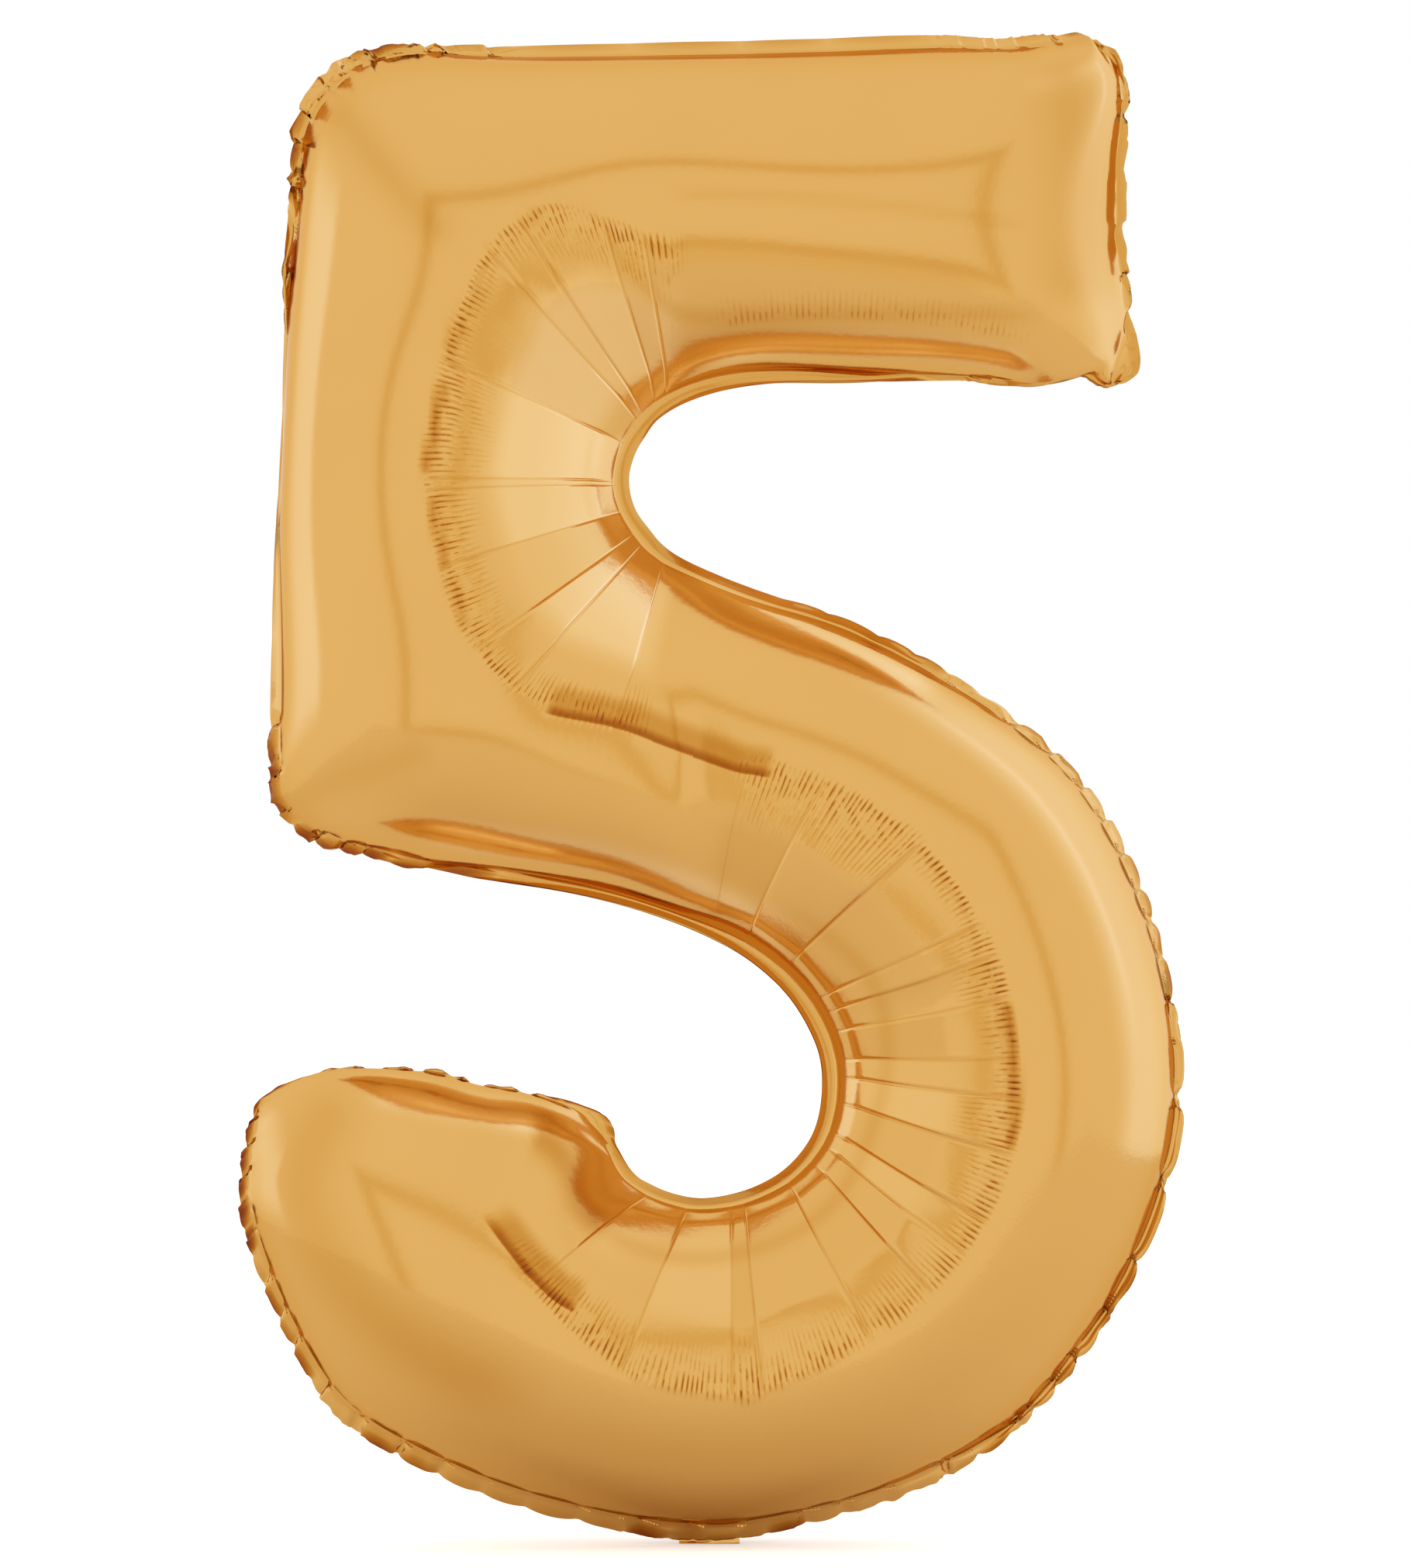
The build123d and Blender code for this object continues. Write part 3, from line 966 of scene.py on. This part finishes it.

# %% [markdown]
# ## The tail and the valve
# The two foils run on into a short tail at the foot of the bowl, where the gas goes in. A flat valve of two
# clear films lies between them: gas pressure inside presses the clear films together, so the balloon shuts
# itself. After filling, the tail is tucked back. Each film is a grid that runs from the weld, over the
# fold, to the mouth.

# %% The tail's path and its places
tail_low, tail_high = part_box("tail_front_film")
valve_low, valve_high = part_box("valve_front_film")
tail_width = tail_high[0] - tail_low[0]
valve_width = valve_high[0] - valve_low[0]
fold = frame["joints"][0]["pos_m"]
tail_tilt = radians(20) # above level
tail_run = tail_high[1] / np.cos(tail_tilt)
print("tail, mm:", round(tail_width * 1000), "by", round(tail_run * 1000))
print("valve, mm:", round(valve_width * 1000), "wide")
foil_lift, clear_lift = 0.0004, 0.00015   # from the tail's middle plane, m
root = 0.003            # the films start this far up in the weld
fold_at, fold_run = 0.003, 0.0015   # where the fold starts down the path, and its length
valve_inset = 0.006     # the valve's outer end lies this far above its CAD end

# The weld's edge round the tail, from left to right
foot = net[0, net.shape[1] // 2 :, -1] / 1000
foot = foot[(foot[:, 2] < 0.08) & (abs(foot[:, 0]) < 0.06)]
foot = foot[np.argsort(foot[:, 0])]


def tail_film(width, lift, rows=64, columns=24):
    """A film through the weld and along the tail. Its place down the path is v: up
    to the fold it hangs from the weld's edge, and past it it runs back along the
    tilted tail, lift off the tail's middle plane, with a faint curl across."""
    u = np.linspace(-1, 1, columns + 1)[None]
    down, back = np.linspace(-root, fold_at, 10), np.linspace(fold_at + fold_run, tail_run, rows - 9)
    v = np.r_[down, back][:, None]
    x = u * width / 2 + 0 * v
    edge_y, edge_z = (np.interp(x, foot[:, 0], foot[:, k]) for k in (1, 2))
    hang = np.clip(v / fold_at, 0, 1)
    past = np.clip(v - fold_at, 0, None)
    bend = np.clip(past / fold_run, 0, 1)
    curl = 0.0007 * np.sin(2.3 * u + 0.4) * np.sin(past / tail_run * 5) * bend
    off = lift * bend + curl
    y = edge_y * (1 - hang) + past * np.cos(tail_tilt) - off * np.sin(tail_tilt) - lift * (1 - bend)
    z = np.where(v < 0, edge_z - v, edge_z + (fold[2] - edge_z) * hang)
    z = z + past * np.sin(tail_tilt) + off * np.cos(tail_tilt)
    return np.stack([x, y, z], -1), np.stack([x, v + 0 * x], -1)


# %% Tail foils and the valve's mouth
tails = []
for name, node, lift, width, finish in (
    ("tail_front_foil", "tail_front_film", -foil_lift, tail_width, "gold_film"),
    ("tail_rear_foil", "tail_rear_film", foil_lift, tail_width, "gold_film"),
    ("mouth_front_clear", "mouth_front_film", -clear_lift, valve_width, "clear_film"),
    ("mouth_rear_clear", "mouth_rear_film", clear_lift, valve_width, "clear_film"),
):
    points, uv = tail_film(width, lift)
    piece = add_mesh(name, points, grid_faces(*points.shape[:2], flip=lift > 0), uv)
    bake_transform(piece)
    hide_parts(node)
    tails.append(piece)
    print(name, "box, mm:", (points.min((0, 1)) * 1000).round(1), (points.max((0, 1)) * 1000).round(1))

# %% Valve inside the balloon
valve_start = valve_low[2] + valve_inset
valve_run = valve_high[2] - valve_low[2] - valve_inset
for name, node, lift in (
    ("valve_front_clear", "valve_front_film", -clear_lift),
    ("valve_rear_clear", "valve_rear_film", clear_lift),
):
    u, v = np.linspace(-1, 1, 17)[None], np.linspace(0, 1, 49)[:, None]
    x = u * valve_width / 2 + 0 * v
    y = lift + 0.0006 * np.sin(7 * v + 0.8 * u) * v
    z = valve_start + v * valve_run + 0 * x
    points = np.stack([x, y, z], -1)
    piece = add_mesh(name, points, grid_faces(*points.shape[:2], flip=lift < 0), np.stack([x, z], -1))
    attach(piece, "balloon")
    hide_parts(node)
    tails.append(piece)

# %% [markdown]
# ## The finishes
# The foil is a plastic film with a thin layer of metal behind a yellow lacquer. The metal gives the broad
# satin shine, and the smooth film over it gives the sharp, colourless highlights. So the material is a
# fairly rough gold metal under a clear coat. A fine noise in the bump stands for the tiny unevenness of
# thin film. Light that goes into a fold leaves it after several bounces, each of which multiplies it by the
# gold's own colour. That shade is painted into the base colour: a mark is the power to which that colour is
# raised, and a mark below 0 paints a highlight.

# %% Node helpers
class Nodes:
    """The nodes of one material or world. A value is a number, a colour or another
    node's socket, and inputs are pairs of a socket's name and its value."""

    def __init__(self, owner):
        owner.use_nodes = True
        self.tree = owner.node_tree

    def fill(self, node, inputs):
        """Sets or links a node's inputs."""
        for key, value in inputs:
            if isinstance(value, bpy.types.NodeSocket):
                self.tree.links.new(value, node.inputs[key])
            else:
                node.inputs[key].default_value = value
        return node

    def new(self, kind, inputs=(), **settings):
        """A new node with these settings and inputs."""
        node = self.tree.nodes.new("ShaderNode" + kind)
        for key, value in settings.items():
            setattr(node, key, value)
        return self.fill(node, inputs)

    def math(self, operation, *values):
        """A Math node's result."""
        return self.new("Math", enumerate(values), operation=operation).outputs[0]

    def chain(self, operation, *values):
        """The same operation on all the values, one after the other."""
        result = values[0]
        for value in values[1:]:
            result = self.math(operation, result, value)
        return result

    def product(self, *values):
        return self.chain("MULTIPLY", *values)

    def total(self, *values):
        return self.chain("ADD", *values)

    def bell(self, value, centre, width):
        """exp(-((value - centre) / width) squared)."""
        off = self.math("DIVIDE", self.math("SUBTRACT", value, centre), width)
        return self.math("POWER", 2.718, self.product(off, off, -1.0))

    def step(self, value, low, high, start=0.0, end=1.0):
        """start below low, end above high, and a smooth change between."""
        span = (("From Min", low), ("From Max", high), ("To Min", start), ("To Max", end), ("Value", value))
        return self.new("MapRange", span, interpolation_type="SMOOTHSTEP").outputs["Result"]

    def noise(self, scale, detail):
        """Noise with that many waves in a metre of the object's own space."""
        place = self.new("TexCoord").outputs["Object"]
        inputs = (("Vector", place), ("Scale", scale), ("Detail", detail), ("Roughness", 0.5))
        return self.new("TexNoise", inputs).outputs["Fac"]

    def mark(self, name):
        """A number stored on the mesh's points."""
        return self.new("Attribute", attribute_name=name).outputs["Fac"]


# %% Gold foil
gold = bpy.data.materials.new("gold_foil")
film = Nodes(gold)
tone = film.new("ValToRGB", (("Fac", film.noise(9, 2)),))
for k, colour in enumerate(((0.745, 0.42, 0.112, 1), (0.775, 0.445, 0.123, 1))):
    tone.color_ramp.elements[k].color = colour
# The comb's teeth are finer than the mesh, so they're drawn here: a bump for their ridges, and painted
# shade as dark strokes on the crest that go on as hairs, in patches
wave = film.math("ABSOLUTE", film.math("SINE", film.product(film.mark("along"), pi / tooth * 1000)))
valley = film.math("POWER", film.math("SUBTRACT", 1.0, wave), 2.0)
inward, strength = film.mark("inward"), film.mark("teeth")
stroke = film.step(inward, 0.15, 0.8, 1.1, 0.0)
hair = film.step(inward, 0.7, 1.9, 0.45, 0.0)
patchy = film.step(film.noise(130, 2), 0.38, 0.62, 0.1, 1.6)
reach = film.product(film.total(stroke, hair), film.step(inward, -0.3, 0.1))
teeth = film.product(valley, reach, patchy, strength)
# Painted shade: a furrow is brown on its lip and, more faintly, up to 20 mm above it
above = film.product(film.mark("above"), 1000.0)
furrow_shade = film.total(film.step(above, 0.0, 6.0, 1.1, 0.0), film.step(above, 10.0, 20.0, 0.5, 0.0))
furrow_shade = film.product(furrow_shade, film.step(above, -2.0, -0.2), film.mark("furrow"))
# All the painted shade on a point; below 0 it is painted highlight
painted_shade = film.total(teeth, furrow_shade, film.mark("fold"))
bounces = film.new("Gamma", (("Color", (0.666, 0.423, 0.117, 1)), ("Gamma", painted_shade)))
factors = ((0, tone.outputs["Color"]), (1, bounces.outputs["Color"]))
ribs = film.product(wave, reach, strength, 5.0)
height = film.total(film.noise(260, 2), ribs)
bump = film.new("Bump", (("Strength", 0.25), ("Distance", 0.0002), ("Height", height)))
rough = film.new("MapRange", (("Value", film.noise(25, 3)), ("To Min", 0.12), ("To Max", 0.15)))
film.fill(film.tree.nodes["Principled BSDF"], (
    ("Base Color", film.new("VectorMath", factors, operation="MULTIPLY").outputs[0]),
    ("Metallic", 1.0),
    ("Specular Tint", (0.86, 0.62, 0.33, 1)),
    ("Roughness", rough.outputs["Result"]),
    ("Coat Weight", 0.3),
    ("Coat Roughness", 0.12),
    ("Coat IOR", 1.5),
    ("Normal", bump.outputs["Normal"]),
))

# %% Clear valve film
clear = bpy.data.materials.new("clear_film")
film = Nodes(clear)
film.fill(film.tree.nodes["Principled BSDF"], (
    ("Base Color", (0.86, 0.88, 0.9, 1)), ("Roughness", 0.12), ("IOR", 1.5), ("Alpha", 0.4),
))
for piece in panels + tails:
    piece.data.materials.append(clear if "clear" in piece.name else gold)

# %% [markdown]
# ## Studio
# A metal shows what is round it, so the studio is described by what lies in each
# direction. The balloon stands in a white tent. In front is a large square light in
# a grey frame, which the foil shows as long soft lines on its crests. Below it the
# tent is a little darker. A bright panel stands at the right, brightest along its
# edge beside the balloon, and a smaller one at the left. All of it is a tone, 0 for
# the plain tent, which the foil sees but the camera doesn't.

# %% World
world = bpy.data.worlds.new("tent")
bpy.context.scene.world = world
tent = Nodes(world)
axes = tent.new("SeparateXYZ", ((0, tent.new("TexCoord").outputs["Generated"]),))
x, y, z = (axes.outputs[k] for k in "XYZ")
# The frame of the square light: the larger of x and z, sizes only, is near 0.44
box = tent.math("MAXIMUM", tent.math("ABSOLUTE", x), tent.math("ABSOLUTE", z))
frame_tone = tent.product(tent.bell(box, 0.44, 0.05), tent.step(y, -0.3, 0.0, -1.0, 0.0))
low_tone = tent.product(tent.step(z, -0.52, -0.38, -0.5, 0.0), tent.step(x, 0.15, 0.4, 1.0, 0.3))
right_tone = tent.product(tent.step(y, -0.4, 0.0, 0.0, 0.95), tent.step(x, 0.2, 0.6))
edge_tone = tent.product(
    tent.bell(y, 0.0, 0.05), tent.step(x, 0.3, 0.7, 0.0, 0.5), tent.step(z, 0.0, 0.3)
)
left_tone = tent.product(
    tent.step(y, 0.0, 0.10, 0.0, 0.95),
    tent.step(y, 0.45, 0.8, 1.0, 0.2),
    tent.step(x, -0.6, -0.3, 1.0, 0.0),
    tent.step(z, 0.2, 0.5, 1.0, 0.0),
    tent.step(z, -0.2, -0.05),
)
tone = tent.total(frame_tone, low_tone, right_tone, left_tone, edge_tone)
camera_sees = tent.new("LightPath").outputs["Is Camera Ray"]
tone = tent.product(tone, tent.math("SUBTRACT", 1.0, camera_sees))
# Brighter directions are also bluer and darker ones warmer: each channel is a number
# to the power of the tone
channels = [tent.math("POWER", number, tone) for number in (1.14, 1.32, 2.0)]
light = tent.new("CombineXYZ", enumerate(channels))
tent.fill(tent.tree.nodes["Background"], (("Color", light.outputs[0]), ("Strength", 1.0)))

# %% Floor
# It ends a metre in front of the balloon, so that the foil's crests still show the
# lower half of the square light.
floor_z = min(float(skin[..., 2].min()) / 1000, tail_low[2]) - 0.0005
corners = [(-1.2, -1, floor_z), (1.2, -1, floor_z), (1.2, 30, floor_z), (-1.2, 30, floor_z)]
floor = add_mesh("floor", np.array(corners), np.array([[0, 1, 2, 3]]))
pale = bpy.data.materials.new("pale_floor")
ground = Nodes(pale)
camera_sees = ground.new("LightPath").outputs["Is Camera Ray"]
ground.fill(ground.tree.nodes["Principled BSDF"], (
    ("Base Color", (0.92, 0.86, 0.74, 1)),
    ("Roughness", 0.9),
    ("Specular IOR Level", 0),
    ("Emission Color", (1, 1, 1, 1)),
    ("Emission Strength", ground.product(camera_sees, 0.45)),
))
floor.data.materials.append(pale)
bpy.context.scene.view_settings.view_transform = "Standard"
